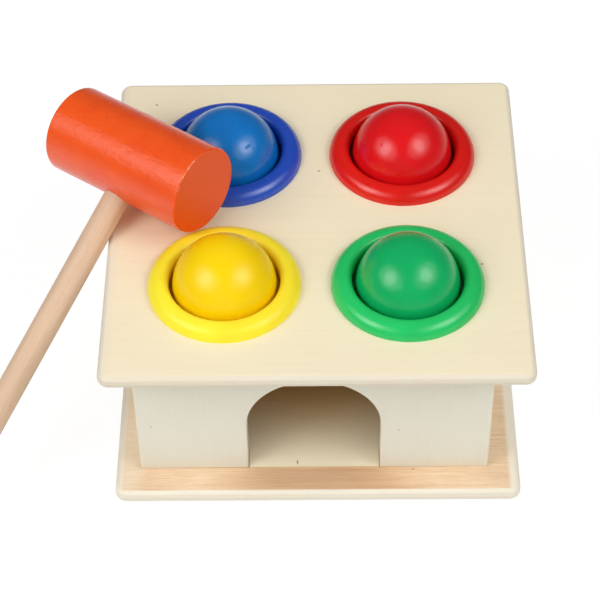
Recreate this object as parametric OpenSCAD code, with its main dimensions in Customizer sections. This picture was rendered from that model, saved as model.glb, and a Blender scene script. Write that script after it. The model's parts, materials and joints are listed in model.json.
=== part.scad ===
// Ball pounding bench: a small box of plywood with four balls sitting in soft rings on its top board.
// A hammer knocks each ball down through its ring, and a ramp inside rolls it out of the front arch.
// Millimetres. The origin is the middle of the base's underside, +X is to the right, +Y to the back.

/* [Top and base boards] */
// How far the top board hangs over the side walls
side_overhang = 10; // [6:0.5:20]
// How far the top board hangs over the front and back walls
front_overhang = 11; // [6:0.5:20]
// Thickness of the top board
top_t = 4.5; // [4.5:0.5:9]
// How far the base board's edges lie inside the top board's
base_inset = 1; // [0:0.5:4]
// Thickness of the base board
base_t = 5; // [4:0.5:9]
// Corner radius of both boards, seen from above
corner_r = 3.5; // [3:0.5:10]
// Rounding of the boards' long edges
edge_r = 1.9; // [0.5:0.1:2.1]

/* [Walls] */
// Room between a ball and the side wall beside it
side_room = 5; // [3:0.5:10]
// Room between a front ball and the front wall
front_room = 4.5; // [3:0.5:10]
// Room between a back ball and the back wall
back_room = 2.5; // [2:0.5:10]
// Height of the walls, between the two boards
wall_h = 52.5; // [48:0.5:70]
// Thickness of the walls
wall_t = 6; // [5:0.5:7]
// How much wider the arch is than a ball
arch_room = 9.5; // [5:0.5:14]
// Height of the arch's straight sides
arch_side_h = 21.5; // [16:0.5:26]
// How far the box sits to the right of the boards' middle, or to the left if negative
box_shift = -1.1; // [-2:0.1:2]

/* [Balls and rings] */
// Diameter of a ball
ball_d = 32; // [28:0.5:34]
// Gap between neighbouring rims from left to right
rim_gap_x = 9; // [4:0.5:20]
// Gap between neighbouring rims from front to back
rim_gap_y = 10; // [4:0.5:20]
// Gap between a ball's equator and its ring
bore_gap = 1.1; // [0.6:0.1:1.4]
// Width of the rounded rim that stands on the top board
rim_w = 6.4; // [5.6:0.2:7]
// Height of the rim above the top board, and radius of its outer rounding
rim_h = 4.2; // [3.6:0.1:4.8]
// Wall thickness of the ring's sleeve in the board's hole
sleeve_t = 2.1; // [1.5:0.1:3]
// Clearance of the sleeve in the board's hole
sleeve_fit = 0.1; // [0.05:0.05:0.2]
// Distance of the sleeve's lower end above the board's underside
sleeve_recess = 0.1; // [0:0.05:0.4]
// Radius of the soft lip's round edge, on which a ball sits
lip_r = 0.7; // [0.6:0.1:0.9]
// How much smaller the lip's opening is than the ball, on the radius
lip_grip = 0.35; // [0.3:0.05:0.6]
// Gap between a ball at rest and the lip
seat_gap = 0.15; // [0.1:0.05:0.3]

/* [Ramp] */
// Slope of the ramp, in degrees
ramp_slope = 8; // [6:0.5:10]
// Thickness of the ramp board
ramp_t = 4; // [3:0.5:6]
// Thickness left at the ramp's thin front edge
ramp_nose_t = 0.6; // [0.4:0.1:1]
// Gap between the ramp and the walls beside it
ramp_gap = 0.2; // [0.2:0.1:1]
// Depth of the batten under the ramp's back end
batten_d = 8; // [6:1:14]

/* [Hammer] */
// Diameter of the head
head_d = 28; // [24:0.2:32]
// Length of the head
head_l = 53.4; // [46:0.2:60]
// Rounding of the head's two rims
head_edge_r = 0.8; // [0.4:0.1:2]
// Diameter of the handle
handle_d = 8.4; // [7:0.2:10]
// Length of the handle from the head's axis to its free end
handle_l = 138; // [90:1:180]
// Rounding of the handle's end
handle_edge_r = 1.2; // [0.4:0.1:2]
// How far the handle's socket goes past the head's axis
socket_past = 6; // [2:0.5:9]
// Clearance of the handle in its socket
socket_fit = 0.05; // [0.02:0.01:0.1]
// Direction of the head from its near end to its far end, in degrees from +X
head_heading = 142.3; // [140:0.1:145]
// How far the head dips towards its far end, in degrees
head_dip = 4; // [2:0.1:4.5]
// Side of the front left ring where the head's near end lies, in degrees from +X
near_end_bearing = 105.5; // [102:0.1:109]
// Distance from that ring's outer edge to the middle of the near end, seen from above
near_end_reach = 0.4; // [0.1:0.1:1.2]
// Gap left where the hammer lies on the bench, and above the table
rest_gap = 0.2; // [0.15:0.05:0.5]

/* [Fasteners] */
// Diameter of a dowel
dowel_d = 3; // [2.5:0.1:3.5]
// How far a dowel goes into the face of a board
dowel_in_face = 3; // [2:0.5:3.5]
// How far a dowel goes into the edge of a wall
dowel_in_edge = 11; // [8:0.5:12]
// Clearance of a dowel or screw in its hole
dowel_fit = 0.05; // [0.02:0.01:0.1]
// Diameter of a base screw's shank
screw_d = 2.8; // [2.4:0.1:3.2]
// Length of a base screw
screw_l = 16; // [12:1:20]
// Diameter of a base screw's head
screw_head_d = 5.6; // [5:0.1:6]
// Height of a base screw head's straight rim
screw_land = 0.2; // [0.1:0.1:0.4]
// Length of the cross slot in a base screw's head
slot_l = 3.4; // [2.8:0.1:4]
// Width of the cross slot
slot_w = 0.8; // [0.6:0.1:1]
// Depth of the cross slot
slot_h = 1.1; // [0.8:0.1:1.4]
// Depth of a base screw's head below the base's underside
screw_recess = 0.4; // [0.2:0.1:0.8]
// Distance of a wall's fasteners from its two ends
fastener_inset = 5; // [4:0.5:8]
// Gap between a corner dowel and the screw below or the dowel above it
fastener_gap = 1.1; // [0.6:0.1:4]

/* [Hidden] */
$fn = 96;

// Colours as the photo shows them
top_wood = [0.95, 0.90, 0.77];
wall_wood = [0.88, 0.85, 0.77];
base_wood = [0.88, 0.73, 0.56];
ramp_wood = [0.85, 0.78, 0.66];
inner_wood = [0.82, 0.72, 0.58];
handle_wood = [0.88, 0.74, 0.62];
head_paint = [0.93, 0.33, 0.13];
screw_steel = [0.70, 0.70, 0.72];
ring_colors = [[0.10, 0.22, 0.66], [0.84, 0.11, 0.08], [0.99, 0.91, 0.15], [0.14, 0.76, 0.37]];
ball_colors = [[0.06, 0.38, 0.70], [0.84, 0.08, 0.10], [0.98, 0.80, 0.08], [0.08, 0.62, 0.33]];

// Colours in the rings' order
BLUE = 0;
RED = 1;
YELLOW = 2;
GREEN = 3;

// Heights
walls_z = base_t;
top_z = base_t + wall_h;
deck_z = top_z + top_t;

// Rings: the rim's outer and inner roundings meet at its crest, and the lip grows from the sleeve's lower end
ball_r = ball_d / 2;
bore_r = ball_r + bore_gap;
ring_r = bore_r + rim_w;
crest_r = ring_r - rim_h;
rim_inner_r = rim_w - rim_h;
rim_wall_h = rim_h - rim_inner_r;
sleeve_r = bore_r + sleeve_t;
sleeve_l = top_t - sleeve_recess;
lip_mid_r = ball_r - lip_grip + lip_r;
lip_z = deck_z - sleeve_l + lip_r;
ball_z = lip_z + sqrt(pow(ball_r + lip_r + seat_gap, 2) - pow(lip_mid_r, 2));

// Box: it leaves room for the balls under the four rings
pitch_x = 2 * ring_r + rim_gap_x;
pitch_y = 2 * ring_r + rim_gap_y;
box_w = pitch_x + ball_d + 2 * side_room + 2 * wall_t;
box_d = pitch_y + ball_d + front_room + back_room + 2 * wall_t;
front_ring_y = -box_d / 2 + wall_t + front_room + ball_r;
ring_places = [for (y = [front_ring_y + pitch_y, front_ring_y], x = [-pitch_x / 2, pitch_x / 2]) [x, y]];

// Boards: the top board hangs over the box, and the base board follows it
top_w = box_w + 2 * side_overhang;
top_d = box_d + 2 * front_overhang;
base_w = top_w - 2 * base_inset;
base_d = top_d - 2 * base_inset;

// Walls: the side walls stand between the front and back walls
side_wall_l = box_d - 2 * wall_t;
wall_mid_x = (box_w - wall_t) / 2;
wall_mid_y = (box_d - wall_t) / 2;
arch_w = ball_d + arch_room;
arch_r = arch_w / 2;

// Ramp: its thin front edge is level with the front wall's outer face
ramp_front_y = -box_d / 2;
ramp_back_y = box_d / 2 - wall_t;
ramp_rise = (ramp_back_y - ramp_front_y) * tan(ramp_slope);
ramp_front_z = base_t + ramp_nose_t;
ramp_under = ramp_t / cos(ramp_slope);
ramp_lift_y = ramp_front_y + (ramp_under - ramp_nose_t) / tan(ramp_slope);
ramp_w = box_w - 2 * wall_t - 2 * ramp_gap;
tongue_w = arch_w - 2 * ramp_gap;
ramp_inner_y = ramp_front_y + wall_t + ramp_gap;

// Hammer: the head lies on the board's left edge or on the two left rings, and the handle on that edge or on
// the table, whichever it meets first
head_r = head_d / 2;
handle_r = handle_d / 2;
near_end = ring_places[YELLOW]
    + (ring_r + near_end_reach) * [cos(near_end_bearing), sin(near_end_bearing)];
head_axis = [cos(head_heading) * cos(head_dip), sin(head_heading) * cos(head_dip), -sin(head_dip)];
handle_along = head_l / 2;
handle_root = near_end + handle_along * [head_axis.x, head_axis.y];
edge_x = -top_w / 2 + edge_r;
edge_z = deck_z - edge_r;
// Height of the handle's root where the head just clears the board's left edge
dip_over_x = atan(head_axis.z / head_axis.x);
root_z_on_edge = edge_z + (head_r + edge_r + rest_gap) / cos(dip_over_x)
    + (handle_root.x - edge_x) * tan(dip_over_x);
// Height of the handle's root where points on the head's lower side just clear the rims of the two left rings
along_step = 2;
turn_step = 2;
turn_end = 80;
function rim_height(d) =
    d > ring_r || d < bore_r ? 0 :
    d > crest_r ? sqrt(pow(rim_h, 2) - pow(d - crest_r, 2)) :
    rim_wall_h + sqrt(pow(rim_inner_r, 2) - pow(crest_r - d, 2));
function head_point(along, turn) =
    let (side = head_r * sin(turn), under = head_r * cos(turn))
    [
        near_end.x + along * head_axis.x - side * sin(head_heading) - under * sin(head_dip) * cos(head_heading),
        near_end.y + along * head_axis.y + side * cos(head_heading) - under * sin(head_dip) * sin(head_heading),
        (handle_along - along) * sin(head_dip) - under * cos(head_dip)
    ];
root_z_on_ring = max([
    for (i = [BLUE, YELLOW], along = [0:along_step:head_l], turn = [-turn_end:turn_step:turn_end])
        let (p = head_point(along, turn), d = norm([p.x, p.y] - ring_places[i]))
        deck_z + rim_height(d) + rest_gap - p.z
]);
root_z = max(root_z_on_edge, root_z_on_ring);
// Slope of the handle where it just clears the board's left edge, and where its end just clears the table
edge_across = [handle_root.x - edge_x, root_z - edge_z];
handle_fall = tan(atan2(edge_across.y, edge_across.x)
    - asin((handle_r + edge_r + rest_gap) / norm(edge_across)));
slope_on_edge = atan(handle_fall * sin(head_heading)
    / (cos(head_dip) - handle_fall * cos(head_heading) * sin(head_dip)));
slope_on_table = asin((root_z - rest_gap) / norm([handle_l, handle_r])) - atan2(handle_r, handle_l);
handle_slope = min(slope_on_edge, slope_on_table);

// Extra length of a cut, past the face that it goes through
past_face = 1;

// Fasteners: the corner dowels lie between the base screws and the top dowels
dowel_l = dowel_in_face + dowel_in_edge;
screw_head_h = (screw_head_d - screw_d) / 2;
screw_top_z = screw_recess + screw_l;
front_fastener_x = box_w / 2 - fastener_inset;
side_fastener_y = side_wall_l / 2 - fastener_inset;
front_fasteners = [for (x = [-1, 1], y = [-1, 1]) [box_shift + x * front_fastener_x, y * wall_mid_y]];
side_fasteners = [for (x = [-1, 1], y = [-1, 1]) [box_shift + x * wall_mid_x, y * side_fastener_y]];
wall_fasteners = concat(front_fasteners, side_fasteners);
corner_dowel_low = screw_top_z + fastener_gap + dowel_d / 2;
corner_dowel_high = top_z - dowel_in_edge - fastener_gap - dowel_d / 2;

// Rectangle with round corners, standing on the X axis
module rounded_profile(w, t, r) {
    translate([-w / 2 + r, 0]) square([w - 2 * r, t]);
    translate([-w / 2, r]) square([w, t - 2 * r]);
    for (x = [-w / 2 + r, w / 2 - r], y = [r, t - r])
        translate([x, y]) circle(r);
}

// Round disc or bar with rounded rims, standing on z = 0
module rounded_disc(r, t, edge) {
    rotate_extrude()
        intersection() {
            rounded_profile(2 * r, t, edge);
            square([r, t]);
        }
}

// Board with rounded edges and round corners, lying on z = 0
module rounded_board(w, d, t) {
    for (x = [-1, 1], y = [-1, 1])
        translate([x * (w / 2 - corner_r), y * (d / 2 - corner_r), 0])
            rounded_disc(corner_r, t, edge_r);
    drawn_along(d - 2 * corner_r)
        rounded_profile(w, t, edge_r);
    rotate([0, 0, 90])
        drawn_along(w - 2 * corner_r)
            rounded_profile(d, t, edge_r);
}

// Front profile drawn out to a length in Y, with its middle at y = 0
module drawn_along(l) {
    translate([0, l / 2, 0])
        rotate([90, 0, 0])
            linear_extrude(l)
                children();
}

// Box with its middle at the origin in plan, and its lower face at z = 0
module block(w, d, h) {
    translate([-w / 2, -d / 2, 0])
        cube([w, d, h]);
}

// Dowels that stand up from the walls into the top board, made larger by fit for the holes
module top_dowel_set(fit) {
    for (p = wall_fasteners)
        translate([p.x, p.y, top_z - dowel_in_edge - fit])
            cylinder(d = dowel_d + 2 * fit, h = dowel_l + 2 * fit);
}

// Dowels between the front and back walls and the side walls' ends, made larger by fit for the holes
module corner_dowel_set(fit) {
    for (x = [-1, 1], turn = [0, 180], z = [corner_dowel_low, corner_dowel_high])
        translate([box_shift, 0, z])
            rotate([0, 0, turn])
                translate([x * wall_mid_x, -side_wall_l / 2 - dowel_in_face - fit, 0])
                    rotate([-90, 0, 0])
                        cylinder(d = dowel_d + 2 * fit, h = dowel_l + 2 * fit);
}

// Half section of a countersunk screw from its lowest face up, made larger by fit for the hole
module screw_profile(fit, low_z) {
    head_r = screw_head_d / 2 + fit;
    shank_r = screw_d / 2 + fit;
    cone_z = screw_recess + screw_land;
    polygon([
        [0, low_z],
        [head_r, low_z],
        [head_r, cone_z],
        [shank_r, cone_z + screw_head_h],
        [shank_r, screw_top_z + fit],
        [0, screw_top_z + fit]
    ]);
}

// The same section at each place where a screw goes up through the base into a wall
module base_screw_set(fit, low_z) {
    for (p = wall_fasteners)
        translate([p.x, p.y, 0])
            rotate_extrude()
                screw_profile(fit, low_z);
}

// Holes for the base screws, open at the base's underside
module base_screw_holes() {
    base_screw_set(dowel_fit, -past_face);
}

// Cross slot in a screw's head
module cross_slots() {
    for (p = wall_fasteners, turn = [0, 90])
        translate([p.x, p.y, screw_recess - past_face])
            rotate([0, 0, turn])
                block(slot_l, slot_w, past_face + slot_h);
}

module top_board() {
    color(top_wood)
        difference() {
            translate([0, 0, top_z])
                rounded_board(top_w, top_d, top_t);
            for (p = ring_places)
                translate([p.x, p.y, top_z - past_face])
                    cylinder(r = sleeve_r + sleeve_fit, h = top_t + 2 * past_face);
            top_dowel_set(dowel_fit);
        }
}

module base_board() {
    color(base_wood)
        difference() {
            rounded_board(base_w, base_d, base_t);
            base_screw_holes();
        }
}

// Holes for all the dowels and screws that reach the walls
module wall_holes() {
    top_dowel_set(dowel_fit);
    corner_dowel_set(dowel_fit);
    base_screw_holes();
}

// Front or back wall, without its holes
module long_wall(side) {
    translate([box_shift, side * wall_mid_y, walls_z])
        block(box_w, wall_t, wall_h);
}

// Left or right wall, with its holes
module side_wall(side) {
    difference() {
        translate([box_shift + side * wall_mid_x, 0, walls_z])
            block(wall_t, side_wall_l, wall_h);
        wall_holes();
    }
}

// Arched way out through the front wall
module arch_cut() {
    translate([box_shift, -box_d / 2 + wall_t + past_face, walls_z])
        rotate([90, 0, 0])
            linear_extrude(wall_t + 2 * past_face) {
                translate([-arch_r, -past_face])
                    square([arch_w, arch_side_h + past_face]);
                translate([0, arch_side_h])
                    circle(arch_r);
            }
}

module front_wall() {
    color(wall_wood)
        difference() {
            long_wall(-1);
            arch_cut();
            wall_holes();
        }
}

module back_wall() {
    color(wall_wood)
        difference() {
            long_wall(1);
            wall_holes();
        }
}

module left_wall() {
    color(wall_wood)
        side_wall(-1);
}

module right_wall() {
    color(wall_wood)
        side_wall(1);
}

// Side view of the ramp with Y to the right: a sloping board that is planed thin at its front edge
module ramp_profile() {
    back = ramp_back_y - ramp_gap;
    back_z = ramp_front_z + ramp_rise - ramp_gap * tan(ramp_slope);
    polygon([
        [ramp_front_y, base_t],
        [ramp_lift_y, base_t],
        [back, back_z - ramp_under],
        [back, back_z],
        [ramp_front_y, ramp_front_z]
    ]);
}

// Side profile drawn out to a width in X, in the middle of the box
module drawn_across(w) {
    translate([box_shift - w / 2, 0, 0])
        rotate([90, 0, 90])
            linear_extrude(w)
                children();
}

module ramp_board() {
    color(ramp_wood)
        intersection() {
            drawn_across(ramp_w)
                ramp_profile();
            union() {
                translate([box_shift - ramp_w / 2, ramp_inner_y, 0])
                    cube([ramp_w, box_d, deck_z]);
                translate([box_shift - tongue_w / 2, ramp_front_y, 0])
                    cube([tongue_w, box_d, deck_z]);
            }
        }
}

module ramp_batten() {
    front = ramp_back_y - batten_d;
    function under_z(y) = ramp_front_z + (y - ramp_front_y) * tan(ramp_slope) - ramp_under;
    color(inner_wood)
        drawn_across(ramp_w)
            polygon([
                [front, base_t],
                [ramp_back_y, base_t],
                [ramp_back_y, under_z(ramp_back_y - ramp_gap)],
                [ramp_back_y - ramp_gap, under_z(ramp_back_y - ramp_gap)],
                [front, under_z(front)]
            ]);
}

// Quarter of a disc, with its straight sides along +X and +Y
module quarter_disc(r) {
    intersection() {
        circle(r);
        square(r);
    }
}

// Rim's cross-section with its crest above x = crest_r, standing on the board's top face
module rim_profile() {
    translate([crest_r, 0])
        quarter_disc(rim_h);
    translate([bore_r, 0])
        square([rim_inner_r, rim_wall_h]);
    translate([crest_r, rim_wall_h])
        rotate(90)
            quarter_disc(rim_inner_r);
}

// Soft ring: a rounded rim on the board, a sleeve in its hole, and a lip that the ball sits on
module ring(i) {
    color(ring_colors[i])
        translate([ring_places[i].x, ring_places[i].y, 0])
            rotate_extrude() {
                translate([0, deck_z])
                    rim_profile();
                translate([bore_r, deck_z - sleeve_l])
                    square([sleeve_t, sleeve_l]);
                translate([lip_mid_r, deck_z - sleeve_l])
                    square([sleeve_r - lip_mid_r, 2 * lip_r]);
                translate([lip_mid_r, lip_z])
                    circle(lip_r);
            }
}

module ball(i) {
    color(ball_colors[i])
        translate([ring_places[i].x, ring_places[i].y, ball_z])
            sphere(ball_r);
}

module ring_blue() { ring(BLUE); }
module ring_red() { ring(RED); }
module ring_yellow() { ring(YELLOW); }
module ring_green() { ring(GREEN); }
module ball_blue() { ball(BLUE); }
module ball_red() { ball(RED); }
module ball_yellow() { ball(YELLOW); }
module ball_green() { ball(GREEN); }

// Puts the hammer where it lies: its head runs along local X, and its handle along local +Y
module hammer_place() {
    translate([handle_root.x, handle_root.y, root_z])
        rotate([-handle_slope, head_dip, head_heading])
            children();
}

// Handle along local +Y, made larger by fit for the head's socket
module handle_rod(fit) {
    translate([0, -socket_past - fit, 0])
        rotate([-90, 0, 0])
            rounded_disc(handle_r + fit, handle_l + socket_past + 2 * fit, handle_edge_r);
}

module hammer_head() {
    color(head_paint)
        hammer_place()
            difference() {
                translate([-handle_along, 0, 0])
                    rotate([0, 90, 0])
                        rounded_disc(head_r, head_l, head_edge_r);
                handle_rod(socket_fit);
            }
}

module hammer_handle() {
    color(handle_wood)
        hammer_place()
            handle_rod(0);
}

module top_dowels() {
    color(inner_wood)
        top_dowel_set(0);
}

module corner_dowels() {
    color(inner_wood)
        corner_dowel_set(0);
}

module base_screws() {
    color(screw_steel)
        difference() {
            base_screw_set(0, screw_recess);
            cross_slots();
        }
}

top_board();
base_board();
front_wall();
back_wall();
left_wall();
right_wall();
ramp_board();
ramp_batten();
ring_blue();
ring_red();
ring_yellow();
ring_green();
ball_blue();
ball_red();
ball_yellow();
ball_green();
hammer_head();
hammer_handle();
top_dowels();
corner_dowels();
base_screws();
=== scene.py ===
# %% [markdown]
# # A ball pounding bench
# This toy is a small plywood box. Four painted balls sit in soft rings on its top board, a hammer knocks
# them through, and a ramp inside rolls them out of the arch in the front wall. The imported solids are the
# fixed frame. Each visible piece is modelled here in the place of its solid, at the same size, and moves
# with the same body. Lengths are in metres and +Z is up, so sizes are written as millimetres times MM.

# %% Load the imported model
import json
from math import cos, pi, radians, sin

import bmesh
import bpy
import numpy as np
from mathutils import Matrix, Vector

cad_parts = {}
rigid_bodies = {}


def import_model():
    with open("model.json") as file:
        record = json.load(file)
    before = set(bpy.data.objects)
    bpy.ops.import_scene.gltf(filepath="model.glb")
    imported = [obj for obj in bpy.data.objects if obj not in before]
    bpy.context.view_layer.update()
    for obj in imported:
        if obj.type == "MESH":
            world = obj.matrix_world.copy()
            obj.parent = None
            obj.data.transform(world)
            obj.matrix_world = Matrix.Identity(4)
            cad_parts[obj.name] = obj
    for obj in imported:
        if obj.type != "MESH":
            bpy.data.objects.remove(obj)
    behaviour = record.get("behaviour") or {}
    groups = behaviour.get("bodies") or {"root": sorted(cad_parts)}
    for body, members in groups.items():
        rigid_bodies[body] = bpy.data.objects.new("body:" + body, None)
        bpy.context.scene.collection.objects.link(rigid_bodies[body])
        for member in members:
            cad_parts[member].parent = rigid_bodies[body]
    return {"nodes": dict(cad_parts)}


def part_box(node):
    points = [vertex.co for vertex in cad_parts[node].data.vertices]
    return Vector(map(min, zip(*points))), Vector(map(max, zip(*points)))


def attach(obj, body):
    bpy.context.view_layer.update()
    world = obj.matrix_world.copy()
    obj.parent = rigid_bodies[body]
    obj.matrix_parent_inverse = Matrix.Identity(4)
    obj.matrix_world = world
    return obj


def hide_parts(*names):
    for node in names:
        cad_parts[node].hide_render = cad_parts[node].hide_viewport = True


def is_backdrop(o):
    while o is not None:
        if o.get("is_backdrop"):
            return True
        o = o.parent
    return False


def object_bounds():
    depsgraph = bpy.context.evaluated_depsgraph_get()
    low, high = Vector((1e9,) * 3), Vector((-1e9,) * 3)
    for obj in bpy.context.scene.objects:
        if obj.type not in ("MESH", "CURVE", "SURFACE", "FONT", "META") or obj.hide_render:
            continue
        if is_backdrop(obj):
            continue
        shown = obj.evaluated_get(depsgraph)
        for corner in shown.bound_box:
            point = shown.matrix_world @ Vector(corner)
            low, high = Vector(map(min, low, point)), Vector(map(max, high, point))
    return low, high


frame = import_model()
cad_low, cad_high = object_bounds()
MM = 0.001


def in_mm(vector):
    """A place or a size in millimetres, for printing."""
    return [round(number / MM, 1) for number in vector]


print("solids:", len(frame["nodes"]), "box:", in_mm(cad_high - cad_low), "mm")

# %% [markdown]
# ## Tools for modelling
# By hand you would click on faces and edges. A script selects them by where they are, so `pick` takes a
# test on the middle of each vertex, edge or face. Everything is deselected first, because an operator
# acts on all that is selected and the loaded solids still are.

# %% Select, start from a block, cut and smooth
TINY = 0.01 * MM


def only(obj):
    """Makes one object the active one and the only one selected."""
    bpy.ops.object.select_all(action="DESELECT")
    obj.select_set(True)
    bpy.context.view_layer.objects.active = obj


def pick(obj, kind, test):
    """In edit mode, selects the vertices, edges or faces whose middle passes the test."""
    bpy.ops.mesh.select_mode(type=kind)
    bpy.ops.mesh.select_all(action="DESELECT")
    mesh = bmesh.from_edit_mesh(obj.data)
    for part in {"VERT": mesh.verts, "EDGE": mesh.edges, "FACE": mesh.faces}[kind]:
        corners = [part.co] if kind == "VERT" else [v.co for v in part.verts]
        if test(sum(corners, Vector()) / len(corners), part):
            part.select_set(True)
    bmesh.update_edit_mesh(obj.data)


def stretched(obj, scale):
    """Gives a new primitive its size and puts its place into its mesh."""
    obj.scale = scale
    bpy.ops.object.transform_apply(location=True, rotation=True, scale=True)
    return obj


def block(low, high):
    """A cube stretched between two corners."""
    bpy.ops.object.select_all(action="DESELECT")
    bpy.ops.mesh.primitive_cube_add(size=1, location=(low + high) / 2)
    return stretched(bpy.context.object, high - low)


def rod(middle, radius, length, sides=128, rotation=(0, 0, 0)):
    """A cylinder with its place in its mesh."""
    bpy.ops.object.select_all(action="DESELECT")
    bpy.ops.mesh.primitive_cylinder_add(
        vertices=sides, radius=radius, depth=length, location=middle, rotation=rotation)
    return stretched(bpy.context.object, (1, 1, 1))


def apply_modifier(obj, kind, **settings):
    """Adds a modifier with its settings and applies it."""
    only(obj)
    bpy.ops.object.modifier_add(type=kind)
    modifier = obj.modifiers[-1]
    for key, value in settings.items():
        setattr(modifier, key, value)
    bpy.ops.object.modifier_apply(modifier=modifier.name)


def cut(obj, *tools):
    """Takes the tools' shapes out of an object and throws the tools away."""
    for tool in tools:
        apply_modifier(obj, "BOOLEAN", operation="DIFFERENCE", solver="EXACT", object=tool)
        bpy.data.objects.remove(tool)


def smooth(obj, angle=40):
    """Smooth shading up to an angle, with large flat faces kept flat."""
    only(obj)
    bpy.ops.object.shade_smooth_by_angle(angle=radians(angle))
    apply_modifier(obj, "WEIGHTED_NORMAL", keep_sharp=True)


def settle(obj, name, body, slot, finish, *nodes):
    """Names a finished piece, gives it its finish, and lets it ride on a body in the place of its solids."""
    obj.name = obj.data.name = name
    obj.data.materials.clear()
    obj.data.materials.append(finish)
    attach(obj, body)
    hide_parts(*nodes)
    print(name, "rides on", body, "with", len(obj.data.polygons), "faces")


# %% [markdown]
# ## Tools for finishes
# Every finish is procedural: its colour, gloss and relief are worked out from the place on the piece, so
# it has no pictures and needs no unwrapping. Wiring nodes one by one is hard to read, so a small class
# wraps a node's output and turns Python's sums and products into Math nodes. One method adds every other
# kind of node.

# %% Shader values and nodes
class Value:
    """One output of a shader node. Sums and products of values add Math nodes."""

    def __init__(self, finish, socket):
        self.finish = finish
        self.socket = socket

    def math(self, operation, *terms):
        """Adds a Math node."""
        return self.finish.node("ShaderNodeMath", {"operation": operation}, dict(enumerate(terms)))

    def __add__(self, other):
        return self.math("ADD", self, other)

    def __sub__(self, other):
        return self.math("SUBTRACT", self, other)

    def __rsub__(self, other):
        return self.math("SUBTRACT", other, self)

    def __mul__(self, other):
        return self.math("MULTIPLY", self, other)

    def __truediv__(self, other):
        return self.math("DIVIDE", self, other)

    def __abs__(self):
        return self.math("ABSOLUTE", self)

    __radd__ = __add__
    __rmul__ = __mul__


class Finish:
    """A material that is built up from values."""

    def __init__(self, name):
        self.material = bpy.data.materials.new(name)
        self.material.use_nodes = True
        self.tree = self.material.node_tree
        self.tree.nodes.clear()

    def node(self, kind, settings=None, inputs=None, output=0):
        """Adds a node: first its settings, then the values or links of its sockets."""
        made = self.tree.nodes.new(kind)
        for key, value in (settings or {}).items():
            setattr(made, key, value)
        for key, value in (inputs or {}).items():
            if isinstance(value, Value):
                self.tree.links.new(value.socket, made.inputs[key])
            else:
                made.inputs[key].default_value = value
        return Value(self, made.outputs[output] if made.outputs else None)

    def place(self, matrix=None):
        """The place on the piece in millimetres, as seen from a frame of its own if one is given."""
        where = self.node("ShaderNodeTexCoord", output=3)
        if matrix is not None:
            where = self.node("ShaderNodeMapping", {"vector_type": "TEXTURE"}, {
                "Vector": where, "Location": matrix.translation, "Rotation": matrix.to_euler()})
        return self.node("ShaderNodeVectorMath", {"operation": "SCALE"}, {0: where, "Scale": 1 / MM})

    def stretch(self, vector, amounts):
        """The vector with each of its three numbers times an amount of its own."""
        return self.node("ShaderNodeVectorMath", {"operation": "MULTIPLY"}, {0: vector, 1: amounts})

    def noise(self, vector, size, detail=3.0, rough=0.55, warp=0.0):
        """Soft noise from 0 to 1 whose blotches are about `size` across."""
        return self.node("ShaderNodeTexNoise", inputs={
            "Vector": vector, "Scale": 1 / size, "Detail": detail, "Roughness": rough, "Distortion": warp})

    def step(self, value, start, end):
        """0 below start, 1 above end, and a smooth rise between them; start may be the higher one."""
        return self.node("ShaderNodeMapRange", {"interpolation_type": "SMOOTHSTEP"}, {
            "Value": value, "From Min": start, "From Max": end})

    def mix(self, share, first, second):
        """Goes from the first colour to the second as the share goes from 0 to 1."""
        return self.node("ShaderNodeMix", {"data_type": "RGBA"}, {0: share, 6: first, 7: second}, output=2)

    def axes(self, vector):
        """The three numbers of a vector."""
        split = self.node("ShaderNodeSeparateXYZ", inputs={0: vector})
        return [Value(self, socket) for socket in split.socket.node.outputs]

    def length(self, vector):
        """How long a vector is."""
        return self.node("ShaderNodeVectorMath", {"operation": "LENGTH"}, {0: vector}, output=1)

    def done(self, colour, roughness, height, relief, shine=0.5, metallic=0.0):
        """Wires the values into the shader; relief is the height's depth in millimetres."""
        bump = self.node("ShaderNodeBump", inputs={"Distance": relief * MM, "Height": height})
        shader = self.node("ShaderNodeBsdfPrincipled", inputs={
            "Base Color": colour, "Roughness": roughness, "Normal": bump,
            "Specular IOR Level": shine, "Metallic": metallic})
        self.node("ShaderNodeOutputMaterial", inputs={"Surface": shader})
        return self.material


def rgb(red, green, blue):
    """A colour as it is read off a screen, from 0 to 255, turned into the renderer's light values."""
    def light(c):
        c = c / 255
        return c / 12.92 if c <= 0.04045 else ((c + 0.055) / 1.055) ** 2.4
    return (light(red), light(green), light(blue), 1.0)


# %% [markdown]
# ## Plywood
# The boards and walls are sanded birch plywood. Its face veneer is pale, with fine fibres along the
# grain, soft cloudy figure, tiny pores and a few dark specks. The rounded edges cut through the face
# veneer and show the plies under it as faint bands. A picture of wood would repeat or stretch round the
# edge, so all of it is made from the place on the piece: the grain is noise that is stretched along one
# axis, and the bands follow the thin axis. Soft patches of another tone add what single boards have of
# their own: specks, browner veneer in front of the arch, and pale rims where the sanding cut deep. Other
# patches are painted light and shade: painted shade along the top board's left rim and towards the back
# of the ramp, and painted light on the base's left strip. The faces inside the box are painted a darker
# brown as painted shade. All these sizes are in millimetres.

# %% Plywood finish
X, Y, Z = 0, 1, 2
FIBRE_WIDTH = 0.55
LINE_WIDTH = 2.0
PORE_WIDTH = 0.20
CLOUD_WIDTH = 24.0
PLY_STEP = 0.75
PLY_ROUGHNESS = 0.56
ROOM_SOFT = 0.2
PATCH_DEPTH = 4.0
WHOLE_BOARD = 300.0
SPECK_RADIUS = 0.55
SPECK = rgb(104, 84, 60)
# The colour of the painted shade on the faces inside the box.
INSIDE_SHADE = rgb(176, 108, 44)


def between(f, value, low, high):
    """1 where the value lies between two limits, and 0 outside them, with a soft edge."""
    return f.step(value, low - ROOM_SOFT, low) * f.step(value, high + ROOM_SOFT, high)


def speck(x, y, z, strength=0.6):
    """A patch that is a small dark speck."""
    return (x, y, z), (SPECK_RADIUS, SPECK_RADIUS, SPECK_RADIUS), SPECK, strength


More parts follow.
